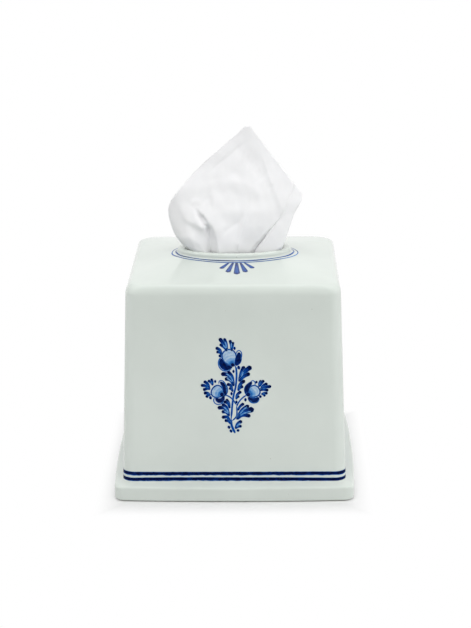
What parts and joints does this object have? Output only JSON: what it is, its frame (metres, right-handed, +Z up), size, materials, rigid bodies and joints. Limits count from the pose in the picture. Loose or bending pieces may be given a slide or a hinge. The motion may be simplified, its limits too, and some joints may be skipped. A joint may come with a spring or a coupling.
{
  "type": "tissue box cover",
  "caption": "Square glazed ceramic tissue box cover with a plinth foot and an oval collar, over a cube refill whose folded sheet stands up through the collar.",
  "frame": {"origin": "centre of the foot's underside, on the surface that the cover stands on", "axes": "+Z up through the collar, -Y out of the painted front, +X to the right of someone facing that front"},
  "size_m": [0.1536, 0.1536, 0.2243],
  "materials": {
    "glazed_shell": "gloss glaze, off-white with hand-painted blue ornament",
    "carton_board": "plain coated board",
    "clear_film": "clear film",
    "tissue_paper": "soft matt tissue"
  },
  "bodies": {
    "refill": {"refill_carton": "carton_board", "slit_film": "clear_film", "clip_sheet_01": "tissue_paper", "clip_sheet_02": "tissue_paper", "clip_sheet_03": "tissue_paper", "clip_sheet_04": "tissue_paper", "clip_sheet_05": "tissue_paper", "clip_sheet_06": "tissue_paper", "clip_sheet_07": "tissue_paper", "clip_sheet_08": "tissue_paper", "clip_sheet_09": "tissue_paper", "clip_sheet_10": "tissue_paper"},
    "cover": {"cover_shell": "glazed_shell"},
    "standing_sheet": {"popup_tissue": "tissue_paper"},
    "next_sheet": {"next_tissue": "tissue_paper"}
  },
  "joints": [
    {"name": "cover_lift", "type": "slide", "parent": "refill", "child": "cover", "axis": [0, 0, 1], "range_m": [0, 0.23], "deforming": ["popup_tissue"]},
    {"name": "tissue_pull", "type": "slide", "parent": "refill", "child": "standing_sheet", "axis": [0, 0, 1], "range_m": [0, 0.06]},
    {"name": "next_follow", "type": "slide", "parent": "refill", "child": "next_sheet", "axis": [0, 0, 1], "range_m": [0, 0.06]}
  ],
  "couplings": [
    {"joint": "next_follow", "follows": "tissue_pull", "ratio": 1}
  ]
}
